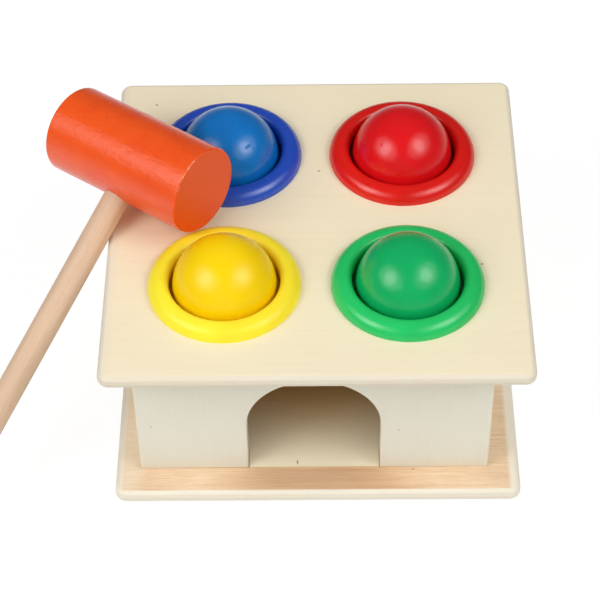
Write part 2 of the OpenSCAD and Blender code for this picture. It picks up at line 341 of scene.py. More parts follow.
def rim_band(x, z, width, colour, strength):
    """A patch along the whole left or right rim of a board."""
    return (x, 0.0, z), (width, WHOLE_BOARD, PATCH_DEPTH), colour, strength


def plywood(name, tones, grain, thin, share, patches=(), room=None):
    """Face veneer with its grain along one axis, and bare plies where the surface turns from the thin axis.

    The tones are those of the face, its streaks, the bare plies and the bands between them. A patch has a
    middle, radii, a colour and a strength. Room is the space that the piece stands round: what faces it is
    painted a darker brown, as painted shade inside the box.
    """
    face, streak, core, band = tones
    f = Finish(name)
    where = f.place()

    def along(amount):
        """The place squeezed along the grain, so that noise runs long there."""
        return f.stretch(where, [amount if axis == grain else 1.0 for axis in (X, Y, Z)])

    fibre = f.noise(along(0.07), FIBRE_WIDTH, detail=5.0, rough=0.65)
    line = f.noise(along(0.035), LINE_WIDTH, detail=3.0, warp=0.5)
    pore = f.step(f.noise(along(0.10), PORE_WIDTH, detail=1.0), 0.60, 0.72)
    cloud = f.step(f.noise(along(0.45), CLOUD_WIDTH, detail=2.0, warp=0.8), 0.40, 0.75)
    dark = f.step(fibre, 0.36, 0.70) * 0.5 + f.step(line, 0.40, 0.68) * 0.35 + pore * 0.3 + cloud * 0.3
    veneer = f.mix(dark * share, face, streak)
    for middle, radii, tint, amount in patches:
        offset = f.node("ShaderNodeMapping", {"vector_type": "TEXTURE"}, {
            "Vector": where, "Location": middle, "Scale": radii})
        far = f.length(offset) + (fibre - 0.5) * 0.1
        veneer = f.mix(f.step(far, 1.0, 0.5) * amount, veneer, tint)
    # Painted shade: the faces that look into the box are painted a darker brown.
    if room:
        limits = zip(f.axes(where), *room)
        x, y, z = (between(f, value, low / MM, high / MM) for value, low, high in limits)
        veneer = f.mix(x * y * z * 0.55, veneer, INSIDE_SHADE)
    normal = f.axes(f.node("ShaderNodeNewGeometry", output=1))
    on_face = f.step(abs(normal[thin]), 0.93, 0.996)
    depth = f.axes(where)[thin] + (fibre - 0.5) * 0.3
    plies = f.step(depth.math("PINGPONG", depth, PLY_STEP), 0.40, 0.62)
    end_grain = f.step(f.noise(where, 0.5, detail=3.0), 0.50, 0.75)
    colour = f.mix(on_face, f.mix(plies * 0.45 + end_grain * 0.25, core, band), veneer)
    gloss = PLY_ROUGHNESS + (fibre - 0.5) * 0.16 + (1 - on_face) * 0.08
    return f.done(colour, gloss, fibre * 0.55 + line * 0.25 - pore * 0.5, 0.012, shine=0.35)


# The space inside the box; the faces that look into it get the painted shade.
SHADED_ROOM = (Vector((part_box("left_wall")[1].x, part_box("front_wall")[1].y, 0)),
        Vector((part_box("right_wall")[0].x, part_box("back_wall")[0].y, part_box("top_board")[0].z)))
TOP_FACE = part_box("top_board")[1].z / MM
BASE_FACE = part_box("base_board")[1].z / MM
FRONT_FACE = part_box("front_wall")[0].y / MM
BASE_RIM = rgb(243, 236, 219)
WALL_TONES = rgb(236, 232, 215), rgb(222, 212, 190), rgb(238, 226, 203), rgb(214, 195, 164)
TOP_PLY = plywood(
    "top_ply_sanded", (rgb(247, 235, 204), rgb(234, 210, 170), rgb(234, 224, 202), rgb(218, 203, 178)),
    grain=X, thin=Z, share=0.20, room=SHADED_ROOM, patches=(
        speck(-52.7, 54.2, TOP_FACE),
        speck(1.1, 22.2, TOP_FACE),
        speck(51.1, -19.3, TOP_FACE),
        # Painted shade: a greyer band along the top board's left rim, as the shade of a wider rounding.
        rim_band(-66.0, TOP_FACE, 5.0, rgb(238, 228, 208), 0.8)))
BASE_PLY = plywood(
    "base_ply_veneered", (rgb(243, 218, 186), rgb(212, 168, 124), rgb(240, 232, 214), rgb(225, 211, 187)),
    grain=X, thin=Z, share=0.75, patches=(
        ((-1.0, -61.0, BASE_FACE), (40.0, 14.0, PATCH_DEPTH), rgb(206, 150, 98), 0.45),
        speck(30.2, -54.8, BASE_FACE, 0.4),
        # Painted light: a pale patch brightens the base's left strip where the top board's overhang shades
        # it.
        ((-60.0, -20.0, BASE_FACE), (9.0, 60.0, PATCH_DEPTH), rgb(255, 240, 214), 0.6),
        rim_band(-63.4, BASE_FACE, 2.4, BASE_RIM, 0.8),
        rim_band(63.0, BASE_FACE, 3.2, BASE_RIM, 0.9)))
FRONT_PLY = plywood(
    "front_ply_sanded", WALL_TONES, grain=Z, thin=Y, share=0.20, room=SHADED_ROOM, patches=(
        speck(-51.6, FRONT_FACE, 26.2, 0.25),
        speck(25.4, FRONT_FACE, 23.9, 0.25)))
SIDE_PLY = plywood("side_ply_sanded", WALL_TONES, grain=Z, thin=X, share=0.20, room=SHADED_ROOM)
RAMP_PLY = plywood(
    "ramp_ply_sanded", (rgb(250, 238, 208), rgb(230, 206, 166), rgb(236, 220, 190), rgb(206, 180, 142)),
    grain=X, thin=Z, share=0.15, patches=(
        # Painted shade: the two brown patches darken the ramp towards the back of the box. The small red one
        # is a mark.
        ((-1.0, 10.0, 12.0), (90.0, 64.0, 40.0), rgb(230, 182, 112), 0.9),
        ((-1.0, 30.0, 15.0), (90.0, 70.0, 40.0), rgb(186, 100, 34), 0.9),
        ((-6.4, -52.4, 5.8), (0.35, 1.0, 0.8), rgb(190, 50, 40), 0.7)))
print("plywood finishes:", [m.name for m in (TOP_PLY, BASE_PLY, FRONT_PLY, SIDE_PLY, RAMP_PLY)])

# %% [markdown]
# ## Top and base boards
# Both boards are square, with rounded corners and well rounded long edges. You could model one quarter
# and mirror it, but a cube with two bevels is quicker: the first bevel rounds the four upright edges, the
# second the rims of the upper and lower face. The top board's four holes are cut out with cylinders and
# hidden by the rings.

# %% Boards from a cube with two bevels
CORNER = 3.5 * MM
EDGE = 1.9 * MM
SLEEVE = 19.2 * MM
HOLE_FIT = 0.1 * MM
COLOURS = ["blue", "red", "yellow", "green"]


def upright(edge):
    """Whether an edge of a flat board stands up."""
    return abs(edge.verts[0].co.z - edge.verts[1].co.z) > TINY


def rounded_board(low, high):
    """A flat board with round corners and rounded rims."""
    board = block(low, high)
    bpy.ops.object.mode_set(mode="EDIT")
    pick(board, "EDGE", lambda middle, edge: upright(edge))
    bpy.ops.mesh.bevel(offset=CORNER, segments=8, affect="EDGES")
    pick(board, "EDGE", lambda middle, edge: not upright(edge))
    bpy.ops.mesh.bevel(offset=EDGE, segments=6, affect="EDGES")
    bpy.ops.object.mode_set(mode="OBJECT")
    return board


ring_boxes = {colour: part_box("ring_" + colour) for colour in COLOURS}
ring_middles = {colour: (low + high) / 2 for colour, (low, high) in ring_boxes.items()}
top_low, top_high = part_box("top_board")
base_low, base_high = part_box("base_board")
thickness = top_high.z - top_low.z

top_board = rounded_board(top_low, top_high)
cut(top_board, *[
    rod(Vector((m.x, m.y, (top_low.z + top_high.z) / 2)), SLEEVE + HOLE_FIT, 3 * thickness)
    for m in ring_middles.values()])
smooth(top_board)
settle(top_board, "top_board_ply", "bench", "top_ply", TOP_PLY, "top_board")

base_board = rounded_board(base_low, base_high)
print("top board", in_mm(top_high - top_low), "mm, base board", in_mm(base_high - base_low), "mm")

# %% [markdown]
# ## Screw holes in the base
# Eight screws come up through the base into the walls, with their heads sunk in the underside. A hole is
# a cylinder for the head whose upper face is pulled up and drawn in to a cone, and then pulled on as the
# shank's hole. Where the holes go is measured on the screws themselves: a copy of them is split into its
# loose pieces.

# %% Countersunk holes
SCREW_HEAD = 2.85 * MM
SCREW_SHANK = 1.45 * MM
LAND = 0.6 * MM


def loose_middles(node):
    """Middles of a solid's separate pieces, measured on a copy that is split up and thrown away."""
    others = set(bpy.data.objects)
    only(frame["nodes"][node])
    bpy.ops.object.duplicate(linked=False)
    bpy.ops.object.mode_set(mode="EDIT")
    bpy.ops.mesh.select_all(action="SELECT")
    bpy.ops.mesh.remove_doubles(threshold=TINY)
    bpy.ops.mesh.separate(type="LOOSE")
    bpy.ops.object.mode_set(mode="OBJECT")
    middles = []
    for piece in set(bpy.data.objects) - others:
        sides = list(zip(*(v.co for v in piece.data.vertices)))
        middles.append((Vector(map(min, sides)) + Vector(map(max, sides))) / 2)
        bpy.data.objects.remove(piece)
    return sorted(middles, key=tuple)


def screw_hole(middle):
    """Solid in the shape of a countersunk hole, open at the underside."""
    tool = rod(Vector((middle.x, middle.y, 0)), SCREW_HEAD, 2 * LAND, sides=48)
    cone = SCREW_HEAD - SCREW_SHANK
    narrow = SCREW_SHANK / SCREW_HEAD
    bpy.ops.object.mode_set(mode="EDIT")
    pick(tool, "FACE", lambda m, face: face.normal.z > 0.5)
    bpy.ops.mesh.extrude_region_move(TRANSFORM_OT_translate={"value": (0, 0, cone)})
    bpy.ops.transform.resize(value=(narrow, narrow, 1), center_override=(middle.x, middle.y, LAND + cone))
    bpy.ops.mesh.extrude_region_move(TRANSFORM_OT_translate={"value": (0, 0, base_high.z)})
    bpy.ops.object.mode_set(mode="OBJECT")
    return tool


screws = loose_middles("base_screws")
cut(base_board, *[screw_hole(middle) for middle in screws])
smooth(base_board)
settle(base_board, "base_board_ply", "bench", "base_ply", BASE_PLY, "base_board")
print(len(screws), "holes at", [in_mm(middle.xy) for middle in screws])

# %% [markdown]
# ## Walls and arch
# Four plain plywood walls carry the top board. Sharp CAD edges never catch the light, so each wall is a
# cube whose edges get a small sanded bevel. The arch is cut before the bevel, so that its edge is sanded
# too. Its tool starts as a cylinder that lies along Y: the lower half is bisected away, and the flat face
# left is pulled down.

# %% Walls from cubes, with the arch cut out of the front one
SANDED = 0.45 * MM
ARCH_RADIUS = 20.75 * MM
ARCH_SIDE = 21.5 * MM


def arch_tool(low, high):
    """A solid in the shape of the way out, longer than the wall is thick."""
    spring = Vector(((low.x + high.x) / 2, (low.y + high.y) / 2, low.z + ARCH_SIDE))
    tool = rod(spring, ARCH_RADIUS, 4 * (high.y - low.y), sides=160, rotation=(pi / 2, 0, 0))
    bpy.ops.object.mode_set(mode="EDIT")
    bpy.ops.mesh.select_all(action="SELECT")
    bpy.ops.mesh.bisect(plane_co=spring, plane_no=(0, 0, 1), use_fill=True, clear_inner=True)
    pick(tool, "FACE", lambda middle, face: abs(middle.z - spring.z) < TINY)
    bpy.ops.mesh.extrude_region_move(TRANSFORM_OT_translate={"value": (0, 0, -2 * ARCH_SIDE)})
    bpy.ops.mesh.select_all(action="SELECT")
    bpy.ops.mesh.normals_make_consistent(inside=False)
    bpy.ops.object.mode_set(mode="OBJECT")
    return tool


for side, finish in (("front", FRONT_PLY), ("back", FRONT_PLY), ("left", SIDE_PLY), ("right", SIDE_PLY)):
    low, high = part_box(side + "_wall")
    wall = block(low, high)
    if side == "front":
        cut(wall, arch_tool(low, high))
    apply_modifier(wall, "BEVEL", width=SANDED, segments=3, limit_method="ANGLE", angle_limit=radians(50))
    smooth(wall)
    settle(wall, side + "_wall_ply", "bench", "wall_ply", finish, side + "_wall")

# %% [markdown]
# ## Soft rings
# Each ring is one soft moulding: a rounded rim that stands on the board, a sleeve in the board's hole,
# and a lip at its lower end that the ball sits on. Something round about an axis is best drawn once as a
# cross-section and spun. The section starts as a plane that stands at the rim's place. Its faces are cut
# and pulled out into the sleeve and the lip, then single corners are bevelled into arcs.

# %% One ring as a spun cross-section
BORE = 17.1 * MM
RIM_WIDTH = 6.4 * MM
RIM_HEIGHT = 4.2 * MM
LIP_OPENING = 15.65 * MM
LIP_HEIGHT = 1.4 * MM
FOOT_EDGE = 0.4 * MM
NEARLY_ALL = 0.995
NEARLY_HALF = 0.49
TURN_STEPS = 128
deck = top_high.z


def near(value, target):
    """Whether two lengths are the same, but for rounding."""
    return abs(value - target) < TINY


def round_corner(obj, x, z, radius, segments):
    """Bevels the corner of a standing section into an arc."""
    pick(obj, "VERT", lambda middle, corner: near(middle.x, x) and near(middle.z, z))
    bpy.ops.mesh.bevel(offset=radius, segments=segments, affect="VERTICES")


def spun_ring(middle, foot):
    """The whole ring round an upright axis through the middle; foot is the height of its lower end."""
    bore = middle.x + BORE
    bpy.ops.object.select_all(action="DESELECT")
    bpy.ops.mesh.primitive_plane_add(
        size=1, location=(bore + RIM_WIDTH / 2, middle.y, deck + RIM_HEIGHT / 2), rotation=(pi / 2, 0, 0))
    ring = stretched(bpy.context.object, (RIM_WIDTH, RIM_HEIGHT, 1))
    bpy.ops.object.mode_set(mode="EDIT")
    bpy.ops.mesh.select_all(action="SELECT")
    bpy.ops.mesh.bisect(plane_co=(middle.x + SLEEVE, 0, 0), plane_no=(1, 0, 0))
    pick(ring, "EDGE", lambda m, edge: near(m.z, deck) and m.x < middle.x + SLEEVE)
    bpy.ops.mesh.extrude_region_move(TRANSFORM_OT_translate={"value": (0, 0, foot - deck)})
    bpy.ops.mesh.select_all(action="SELECT")
    bpy.ops.mesh.bisect(plane_co=(0, 0, foot + LIP_HEIGHT), plane_no=(0, 0, 1))
    pick(ring, "EDGE", lambda m, edge: near(m.x, bore) and m.z < foot + LIP_HEIGHT)
    bpy.ops.mesh.extrude_region_move(TRANSFORM_OT_translate={"value": (LIP_OPENING - BORE, 0, 0)})
    bpy.ops.mesh.select_all(action="SELECT")
    bpy.ops.mesh.dissolve_faces()
    round_corner(ring, bore + RIM_WIDTH, deck + RIM_HEIGHT, NEARLY_ALL * RIM_HEIGHT, 14)
    round_corner(ring, bore, deck + RIM_HEIGHT, RIM_WIDTH - RIM_HEIGHT, 10)
    for z in (foot, foot + LIP_HEIGHT):
        round_corner(ring, middle.x + LIP_OPENING, z, NEARLY_HALF * LIP_HEIGHT, 6)
    round_corner(ring, middle.x + SLEEVE, foot, FOOT_EDGE, 3)
    bpy.ops.mesh.select_all(action="SELECT")
    bpy.ops.mesh.delete(type="ONLY_FACE")
    bpy.ops.mesh.select_all(action="SELECT")
    bpy.ops.mesh.spin(steps=TURN_STEPS, angle=2 * pi, center=middle, axis=(0, 0, 1))
    bpy.ops.mesh.select_all(action="SELECT")
    bpy.ops.mesh.remove_doubles(threshold=0.2 * TINY)
    bpy.ops.mesh.normals_make_consistent(inside=False)
    bpy.ops.object.mode_set(mode="OBJECT")
    smooth(ring)
    return ring


def copy_to(obj, offset):
    """A copy with its own mesh, moved in its mesh."""
    only(obj)
    bpy.ops.object.duplicate(linked=False)
    twin = bpy.context.object
    twin.location = offset
    bpy.ops.object.transform_apply(location=True, rotation=False, scale=False)
    return twin


# %% [markdown]
# ## Moulded plastic and its four rings
# The rings are glossy soft plastic. A real moulding isn't one flat colour: its tone drifts a little, and
# its skin has a very fine unevenness that softens the highlights. The bore is painted darker towards its
# lower end, as painted shade. Each colour has its own shine, as in the photo. The ring is spun once and
# copied to the other three holes.

# %% Ring finishes and copies
def moulded(colour, tone, deep, shine, rough):
    """Glossy soft plastic with a slight drift of tone, and painted shade that darkens it down in its bore.
    """
    f = Finish(colour + "_moulded")
    where = f.place(Matrix.Translation((ring_middles[colour].x, ring_middles[colour].y, deck)))
    drift = f.step(f.noise(where, 14.0, detail=2.0), 0.35, 0.75)
    beyond_bore = f.length(f.stretch(where, (1.0, 1.0, 0.0))) - BORE / MM
    # Painted shade: the bore is darkened towards its lower end with the deep colour.
    down = f.step(f.axes(where)[Z], 2.5, -0.5) * f.step(beyond_bore, 1.1, 0.5)
    skin = f.noise(where, 0.8, detail=2.0)
    haze = f.noise(where, 5.0, detail=3.0)
    mixed = f.mix(drift * 0.25 + down * 0.6, tone, deep)
    return f.done(mixed, rough + haze * 0.12, skin, 0.004, shine)


# The second colour of a ring is its deeper tone, for the drift and for the painted shade in its bore.
RING_FINISHES = {
    "blue": moulded("blue", rgb(32, 80, 194), rgb(18, 52, 156), 0.75, 0.20),
    "red": moulded("red", rgb(224, 22, 12), rgb(186, 12, 10), 0.55, 0.18),
    "yellow": moulded("yellow", rgb(255, 240, 54), rgb(252, 190, 16), 0.32, 0.28),
    "green": moulded("green", rgb(36, 200, 104), rgb(22, 160, 78), 0.50, 0.18),
}
first_ring = spun_ring(ring_middles["blue"], ring_boxes["blue"][0].z)
rings = {"blue": first_ring}
for colour in COLOURS[1:]:
    rings[colour] = copy_to(first_ring, ring_middles[colour] - ring_middles["blue"])
for colour, ring in rings.items():
    settle(ring, colour + "_ring", "bench", colour + "_ring", RING_FINISHES[colour], "ring_" + colour)

# %% [markdown]
# ## Balls
# The balls are turned wood with glossy paint. A UV sphere pinches its faces at two poles, which shows in
# a highlight, so a subdivided cube is blown up into a sphere instead: its faces are nearly even all over.
# The paint follows the wood, and two balls have small pits where the grain was torn. The faces round a
# ball's pits are subdivided, all at once so that no face is split twice, and then the middle of each pit
# is pushed in.

# %% One ball from a cube, its copies, and their pits
BALL_CUTS = 39
PIT_CUTS = 5
PIT_REACH = 2.6
PIT_STEPS = (1.0, 0.6)
ball_boxes = {colour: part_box("ball_" + colour) for colour in COLOURS}
ball_middles = {colour: (low + high) / 2 for colour, (low, high) in ball_boxes.items()}
ball_radius = (ball_boxes["blue"][1].z - ball_boxes["blue"][0].z) / 2


def ball_at(middle):
    """A sphere with nearly even faces."""
    bpy.ops.object.select_all(action="DESELECT")
    bpy.ops.mesh.primitive_cube_add(size=2 * ball_radius, location=(0, 0, 0))
    ball = bpy.context.object
    bpy.ops.object.mode_set(mode="EDIT")
    bpy.ops.mesh.select_all(action="SELECT")
    bpy.ops.mesh.subdivide(number_cuts=BALL_CUTS)
    bpy.ops.transform.tosphere(value=1.0)
    bpy.ops.object.mode_set(mode="OBJECT")
    reach = ball.data.vertices[0].co.length
    ball.location = middle
    stretched(ball, (ball_radius / reach,) * 3)
    return ball


def pits(ball, middle, spots):
    """Pushes small pits into a ball; a spot is the way that a pit faces, with its radius and depth in mm."""
    places = [(middle + Vector(direction).normalized() * ball_radius, radius * MM, depth * MM)
              for direction, radius, depth in spots]

    def around(m, face):
        return any((m - place).length < PIT_REACH * radius for place, radius, depth in places)

    only(ball)
    bpy.ops.object.mode_set(mode="EDIT")
    pick(ball, "FACE", around)
    bpy.ops.mesh.subdivide(number_cuts=PIT_CUTS)
    for place, radius, depth in places:
        for share in PIT_STEPS:
            pick(ball, "VERT", lambda m, corner: (m - place).length < share * radius)
            bpy.ops.transform.translate(value=(middle - place).normalized() * depth / len(PIT_STEPS))
    bpy.ops.object.mode_set(mode="OBJECT")


first_ball = ball_at(ball_middles["blue"])
balls = {"blue": first_ball}
for colour in COLOURS[1:]:
    balls[colour] = copy_to(first_ball, ball_middles[colour] - ball_middles["blue"])
pits(balls["red"], ball_middles["red"], [((-0.437, -0.515, 0.738), 0.45, 0.30)])
pits(balls["blue"], ball_middles["blue"], [
    ((0.385, -0.560, 0.734), 0.40, 0.20),
    ((0.415, -0.532, 0.738), 0.45, 0.22),
    ((0.444, -0.503, 0.742), 0.40, 0.20),
    ((0.533, -0.509, 0.676), 0.32, 0.16)])
print("balls:", {c: len(b.data.polygons) for c, b in balls.items()})

# %% [markdown]
# ## Glossy paint on wood
# Paint on turned wood is never quite even. Under a light it shows a fine orange-peel relief and the ghost
# of the grain, and its tone is a little deeper where it lies thicker. All of that is faint, but it is
# what makes the highlights look soft and slightly broken instead of like glass. As with the rings, each
# colour has its own shine.

# %% Ball finishes
def painted(name, colour, deep, rough, matrix=None, grain_run=0.06):
    """Starts a paint over wood with its grain along X of its frame; a small grain_run makes the grain long.

    Gives back the finish, the place on the piece, and the paint's colour, roughness and height.
    """
    f = Finish(name)
    where = f.place(matrix)
    grain = f.noise(f.stretch(where, (grain_run, 1.0, 1.0)), 0.7, detail=4.0, rough=0.6)
    peel = f.noise(where, 0.55, detail=2.0)
    thick = f.step(f.noise(where, 9.0, detail=3.0), 0.35, 0.72)
    tone = f.mix(thick * 0.4 + f.step(grain, 0.45, 0.75) * 0.08, colour, deep)
    gloss = rough + (grain - 0.5) * 0.10 + (thick - 0.5) * 0.04
    return f, where, tone, gloss, peel * 0.8 + grain * 0.2


def ball_paint(name, colour, deep, shine, rough):
    """Glossy paint on a ball."""
    f, _, tone, gloss, height = painted(name, colour, deep, rough)
    return f.done(tone, gloss, height, 0.004, shine)


BALL_FINISHES = {
    "blue": ball_paint("blue_paint_gloss", rgb(14, 118, 198), rgb(8, 96, 172), 0.55, 0.23),
    "red": ball_paint("red_paint_gloss", rgb(226, 20, 26), rgb(204, 10, 18), 0.45, 0.22),
    "yellow": ball_paint("yellow_paint_gloss", rgb(254, 214, 4), rgb(253, 207, 3), 0.35, 0.27),
    "green": ball_paint("green_paint_gloss", rgb(14, 178, 100), rgb(10, 160, 86), 0.48, 0.22),
}
for colour, ball in balls.items():
    smooth(ball, 60)
    name = colour + "_ball"
    settle(ball, name, name, colour + "_paint", BALL_FINISHES[colour], "ball_" + colour)

# %% [markdown]
# ## Where the hammer lies
# The hammer leans on two rings and the board's edge, so its pieces don't follow the world's axes. Its
# frame is measured on the solids: the largest flat faces of the head are its two ends, and the long axis
# of the handle's points gives the handle. The pieces are modelled straight in that frame, along X and Y,
# and then put in place.

# %% Measure the hammer's frame
def flat_ends(node):
    """Middles of the two largest flat faces that point opposite ways."""
    faces = {}
    for face in frame["nodes"][node].data.polygons:
        key = tuple(round(n, 2) for n in face.normal)
        area, moment = faces.get(key, (0.0, Vector()))
        faces[key] = (area + face.area, moment + face.center * face.area)
    largest = sorted(faces.values(), key=lambda entry: -entry[0])[:2]
    return [moment / area for area, moment in largest]


def long_axis(node):
    """Direction of a rod's length, pointing down, and its lowest end."""
    points = np.array([v.co for v in frame["nodes"][node].data.vertices])
    middle = points.mean(axis=0)
    axis = np.linalg.svd(points - middle, full_matrices=False)[2][0]
    axis = axis if axis[2] < 0 else -axis
    return Vector(axis), Vector(middle + axis * ((points - middle) @ axis).max())


near_end, far_end = sorted(flat_ends("hammer_head"), key=lambda middle: -middle.x)
handle_axis, handle_end = long_axis("hammer_handle")
head_axis = (far_end - near_end).normalized()
head_middle = (near_end + far_end) / 2
head_length = (far_end - near_end).length
handle_axis = (handle_axis - head_axis * handle_axis.dot(head_axis)).normalized()
handle_length = (handle_end - head_middle).dot(handle_axis)
hammer = Matrix((head_axis, handle_axis, head_axis.cross(handle_axis))).transposed().to_4x4()
hammer.translation = head_middle
print("head length and handle from the head's axis:", in_mm((head_length, handle_length)), "mm")

# %% [markdown]
# ## Hammer
# The head is a turned and painted cylinder with its rims just broken, and the handle is a bare dowel
# glued in a hole on its side. Both start as cylinders. The head's end rims are bevelled, and its end
# faces are inset and dished a little, as a saw and sander leave them. The socket is cut out before the
# head is put in place.

# %% Head and handle
HEAD_RADIUS = 14.0 * MM
HEAD_RIM = 0.8 * MM
HANDLE_RADIUS = 4.2 * MM
HANDLE_RIM = 1.2 * MM
SOCKET = 6.0 * MM
SOCKET_FIT = 0.05 * MM
DISH_STEP = 0.02 * MM
DISH_INSETS = (0.35, 0.30)


def end_rims(obj, axis, low, high, radius, segments):
    """Bevels the two end rims of a rod that lies along an axis."""
    bpy.ops.object.mode_set(mode="EDIT")
    pick(obj, "EDGE", lambda m, edge: all(near(v.co[axis], low) for v in edge.verts)
         or all(near(v.co[axis], high) for v in edge.verts))
    bpy.ops.mesh.bevel(offset=radius, segments=segments, affect="EDGES")
    bpy.ops.object.mode_set(mode="OBJECT")


def in_place(obj):
    """Moves a piece from the hammer's own frame to where the hammer lies."""
    only(obj)
    obj.matrix_world = hammer
    bpy.ops.object.transform_apply(location=True, rotation=True, scale=True)
    return obj


head = rod(Vector(), HEAD_RADIUS, head_length, sides=144, rotation=(0, pi / 2, 0))
end_rims(head, X, -head_length / 2, head_length / 2, HEAD_RIM, 5)
bpy.ops.object.mode_set(mode="EDIT")
for side in (-1, 1):
    pick(head, "FACE", lambda m, face: near(m.x, side * head_length / 2))
    for inset in DISH_INSETS:
        bpy.ops.mesh.inset(thickness=inset * HEAD_RADIUS)
        bpy.ops.transform.translate(value=(-side * DISH_STEP, 0, 0))
bpy.ops.object.mode_set(mode="OBJECT")
along_y = (pi / 2, 0, 0)
cut(head, rod(Vector((0, HEAD_RADIUS - SOCKET, 0)), HANDLE_RADIUS + SOCKET_FIT, 2 * HEAD_RADIUS + SOCKET_FIT,
              sides=96, rotation=along_y))
smooth(in_place(head))

handle_middle = Vector((0, (handle_length - SOCKET) / 2, 0))
handle = rod(handle_middle, HANDLE_RADIUS, handle_length + SOCKET, sides=72, rotation=along_y)
end_rims(handle, Y, -SOCKET, handle_length, HANDLE_RIM, 5)
smooth(in_place(handle))
print("head and handle have", len(head.data.polygons), "and", len(handle.data.polygons), "faces")

# %% [markdown]
# ## Hammer paint and bare handle
# The head's paint is flatter than the balls'. A soft unevenness mottles its long highlight, small dents
# break it, the end faces are duller, and a pale line shows where the paint is thin on the near rim. The
# handle is bare dowel, with fine fibres along its length. Both finishes read their place in the hammer's
# own frame, so that the grain runs along the pieces.

# %% Hammer finishes
WORN_SIDE = radians(92)
DENT = rgb(206, 60, 14)
END_FACE = rgb(240, 84, 14)
THIN_PAINT = rgb(252, 196, 140)
DOWEL, DOWEL_STREAK, DOWEL_FLECK = rgb(223, 192, 163), rgb(207, 169, 137), rgb(186, 142, 108)


def head_paint():
    """Satin paint with dents, duller end faces and a worn rim."""
    f, where, tone, gloss, height = painted(
        "orange_paint_satin", rgb(246, 88, 24), rgb(230, 66, 12), 0.25, hammer, grain_run=0.5)
    x, y, z = f.axes(where)
    short = f.stretch(where, (0.65, 1.0, 1.0))
    mottle = f.noise(short, 1.2, detail=3.0, rough=0.6)
    dent = f.step(f.noise(short, 1.4, detail=1.0), 0.68, 0.78)
    tone = f.mix(dent * 0.3, tone, DENT)
    radius = f.length(f.stretch(where, (0.0, 1.0, 1.0)))
    full, half = HEAD_RADIUS / MM, head_length / MM / 2
    at_end = f.step(abs(x), half - 0.30, half - 0.05)
    end_face = at_end * f.step(radius, full - 0.3, full - 0.8)
    tone = f.mix(end_face * 0.75, tone, END_FACE)
    rim = f.step(x, 0.45 - half, 0.15 - half) * f.step(radius, full - 0.8, full - 0.5)
    side = f.step(y / radius * cos(WORN_SIDE) + z / radius * sin(WORN_SIDE), 0.86, 0.96)
    worn = rim * side * f.step(f.noise(where, 2.4, detail=4.0), 0.42, 0.56)
    tone = f.mix(worn * 0.75, tone, THIN_PAINT)
    relief = (height * 0.1 + mottle * 0.9 - dent * 0.2) * (1 - end_face * 0.8)
    return f.done(tone, gloss + end_face * 0.22, relief, 0.15, shine=0.6)


def bare_dowel():
    """Bare wood with fibres, faint lines and short flecks along the handle."""
    f = Finish("handle_wood_bare")
    where = f.place(hammer)
    fibre = f.noise(f.stretch(where, (1.0, 0.03, 1.0)), 0.45, detail=4.0, rough=0.6)
    line = f.noise(f.stretch(where, (1.0, 0.015, 1.0)), 1.6, detail=2.0, warp=0.3)
    fleck = f.step(f.noise(f.stretch(where, (1.0, 0.10, 1.0)), 0.25, detail=1.0), 0.62, 0.74)
    streaks = f.step(fibre, 0.38, 0.70) * 0.4 + f.step(line, 0.42, 0.66) * 0.25
    tone = f.mix(fleck * 0.25, f.mix(streaks, DOWEL, DOWEL_STREAK), DOWEL_FLECK)
    return f.done(tone, 0.60 + (fibre - 0.5) * 0.15, fibre * 0.7 - fleck * 0.5, 0.025, shine=0.3)


settle(head, "hammer_head_painted", "hammer", "orange_paint", head_paint(), "hammer_head")
settle(handle, "hammer_handle_dowel", "hammer", "handle_wood", bare_dowel(), "hammer_handle")

# %% [markdown]
# ## Inside pieces and fasteners
# The ramp board, its batten, the dowels and the screws are plain shapes that the solids already have
# right, so they stay as they are and only get finishes. They show through the arch or from underneath, or
# not at all.

# %% Finishes for the solids that stay
def inner_wood():
    """Bare wood of the hidden pieces."""
    f = Finish("inner_wood_bare")
    where = f.place()
    fibre = f.noise(f.stretch(where, (0.05, 1.0, 1.0)), 0.6, detail=4.0)
    tone = f.mix(f.step(fibre, 0.35, 0.7) * 0.6, rgb(222, 196, 160), rgb(190, 158, 118))
    return f.done(tone, 0.62 + (fibre - 0.5) * 0.1, fibre, 0.03)


def plated_steel():
    """Plated steel with fine scratches."""
    f = Finish("screw_steel_plated")
    where = f.place()
    scratch = f.noise(f.stretch(where, (1.0, 0.1, 1.0)), 0.2, detail=3.0)
    tone = f.mix(f.step(scratch, 0.4, 0.7) * 0.5, rgb(214, 214, 218), rgb(176, 178, 184))
    return f.done(tone, 0.30 + scratch * 0.15, scratch, 0.004, metallic=1.0)


wood = inner_wood()
steel = plated_steel()
for node, finish in (("ramp_board", RAMP_PLY), ("ramp_batten", wood), ("top_dowels", wood),
                     ("corner_dowels", wood), ("base_screws", steel)):
    materials = frame["nodes"][node].data.materials
    materials.clear()
    materials.append(finish)
    print(node, "keeps its solid, with", finish.name)

# %% [markdown]
# ## Floor and backdrop
# The photo is a product shot on white. The floor is a plain plane, with a low round backdrop at its far
# edge. Round the object it is white paper, and the camera and the reflections see most of it as plain
# white, but it still takes the object's shadow. Further out it turns grey, so that only a thin pale rim
# shows on the balls.

# %% Floor and backdrop
FLOOR_SIZE = 6.0
FLOOR_DROP = 0.02 * MM
BACKDROP_RADIUS = 2.8
BACKDROP_HEIGHT = 0.3
NEAR_FLOOR, FAR_FLOOR = 215.0, 500.0
NEAR_PAPER, FAR_PAPER = (0.86, 0.86, 0.86, 1.0), (0.45, 0.45, 0.45, 1.0)
NEAR_GLOW, FAR_GLOW = 0.80, 0.20
WHITE = (1.0, 1.0, 1.0, 1.0)
GLOW_STRENGTH = 1.10

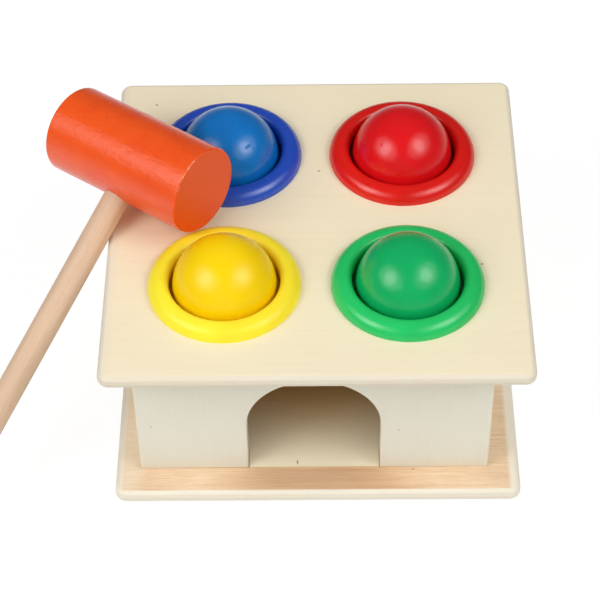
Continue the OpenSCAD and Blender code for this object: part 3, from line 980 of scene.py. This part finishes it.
stage = Finish("stage_white")
seen = stage.node("ShaderNodeLightPath", output="Is Camera Ray")
for ray in ("Is Glossy Ray", "Is Transmission Ray"):
    seen = seen.math("MAXIMUM", seen, stage.node("ShaderNodeLightPath", output=ray))
close = stage.step(stage.length(stage.place()), FAR_FLOOR, NEAR_FLOOR)
share = FAR_GLOW + close * (NEAR_GLOW - FAR_GLOW)
paper = stage.node("ShaderNodeBsdfDiffuse", inputs={"Color": stage.mix(close, FAR_PAPER, NEAR_PAPER)})
glow = stage.node("ShaderNodeEmission", inputs={"Color": WHITE, "Strength": GLOW_STRENGTH})
both = stage.node("ShaderNodeMixShader", inputs={0: seen * share, 1: paper, 2: glow})
stage.node("ShaderNodeOutputMaterial", inputs={"Surface": both})

bpy.ops.object.select_all(action="DESELECT")
bpy.ops.mesh.primitive_plane_add(size=FLOOR_SIZE, location=(0, 0, -FLOOR_DROP))
floor = bpy.context.object
bpy.ops.mesh.primitive_cylinder_add(
    vertices=96, radius=BACKDROP_RADIUS, depth=BACKDROP_HEIGHT, end_fill_type="NOTHING",
    location=(0, 0, BACKDROP_HEIGHT / 2))
backdrop = bpy.context.object
for piece, name in ((floor, "floor"), (backdrop, "backdrop")):
    piece.name = name
    piece.data.materials.append(stage.material)
    piece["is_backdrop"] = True
    print(name, "with", stage.material.name)

# %% [markdown]
# ## Light
# The photo is lit by two softboxes. Each is made of a bright core in front of a wide and dimmer lamp,
# which gives every ball two highlights with soft edges. Two wide fills, which reflections don't show,
# soften the shadows. The room is dim, so the paint stays deep. The level is the one where a colour looks
# about as it is written.

# %% World and lamps
WORLD_FILL = 0.10
AIM = Vector((0, 0, 0.05))
LEFT = (-0.63, -0.39, 0.675)
RIGHT = (0.62, -0.31, 0.73)
FRONT = (0.0, -0.98, 0.20)
ABOVE = (0.0, 0.45, 0.90)

world = bpy.data.worlds.new("dim_room")
bpy.context.scene.world = world
world.use_nodes = True
sky = world.node_tree.nodes["Background"]
sky.inputs["Color"].default_value = WHITE
sky.inputs["Strength"].default_value = WORLD_FILL

for name, direction, distance, width, height, power in (
        ("softbox_left_core", LEFT, 1.0, 0.50, 0.50, 2.5),
        ("softbox_left_wide", LEFT, 1.02, 1.25, 0.80, 3.7),
        ("softbox_right_core", RIGHT, 1.0, 0.50, 0.50, 2.3),
        ("softbox_right_wide", RIGHT, 1.02, 1.25, 0.80, 3.3),
        ("front_fill", FRONT, 1.6, 1.6, 1.6, 6.0),
        ("top_fill", ABOVE, 1.6, 1.6, 1.6, 3.5)):
    bpy.ops.object.light_add(type="AREA")
    lamp = bpy.context.object
    lamp.name = name
    lamp.data.shape = "ELLIPSE"
    lamp.data.size = width
    lamp.data.size_y = height
    lamp.data.energy = power
    lamp.visible_glossy = "softbox" in name
    lamp.location = AIM + Vector(direction).normalized() * distance
    lamp.rotation_mode = "QUATERNION"
    lamp.rotation_quaternion = (AIM - lamp.location).to_track_quat("-Z", "Y")
    print(name, "gives", power, "W from", in_mm(lamp.location), "mm")

# %% [markdown]
# ## Camera
# The camera was fitted to the edges of the two boards in the photo. It looks down on the bench from the
# front with a long lens, whose focal length is written in pixels of the photo, as the fit gave it.

# %% Camera
FOCAL_PIXELS = 2028.0
FRAME_PIXELS = 600.0
SENSOR = 36.0
PITCH = radians(47.89)
YAW = radians(0.84)
ROLL = radians(-1.04)
CAMERA_PLACE = (0.0011, -0.4465, 0.5187)

bpy.ops.object.camera_add(location=CAMERA_PLACE)
camera = bpy.context.object
camera.data.sensor_width = SENSOR
camera.data.lens = FOCAL_PIXELS / FRAME_PIXELS * SENSOR
tilt = Matrix.Rotation(pi / 2 - PITCH, 3, "X")
turn = Matrix.Rotation(YAW, 3, "Z") @ tilt @ Matrix.Rotation(ROLL, 3, "Z")
camera.rotation_mode = "QUATERNION"
camera.rotation_quaternion = turn.to_quaternion()
bpy.context.scene.camera = camera
bpy.context.scene.view_settings.view_transform = "Standard"
print("camera looks along", [round(c, 3) for c in turn @ Vector((0, 0, -1))])

# %% [markdown]
# ## Sizes
# Last, the box of the visible model is printed, to be compared with the box of the solids printed at the
# start.

# %% Print the visible model's box
bpy.context.view_layer.update()
low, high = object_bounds()
print("visual box:", in_mm(high - low), "mm")
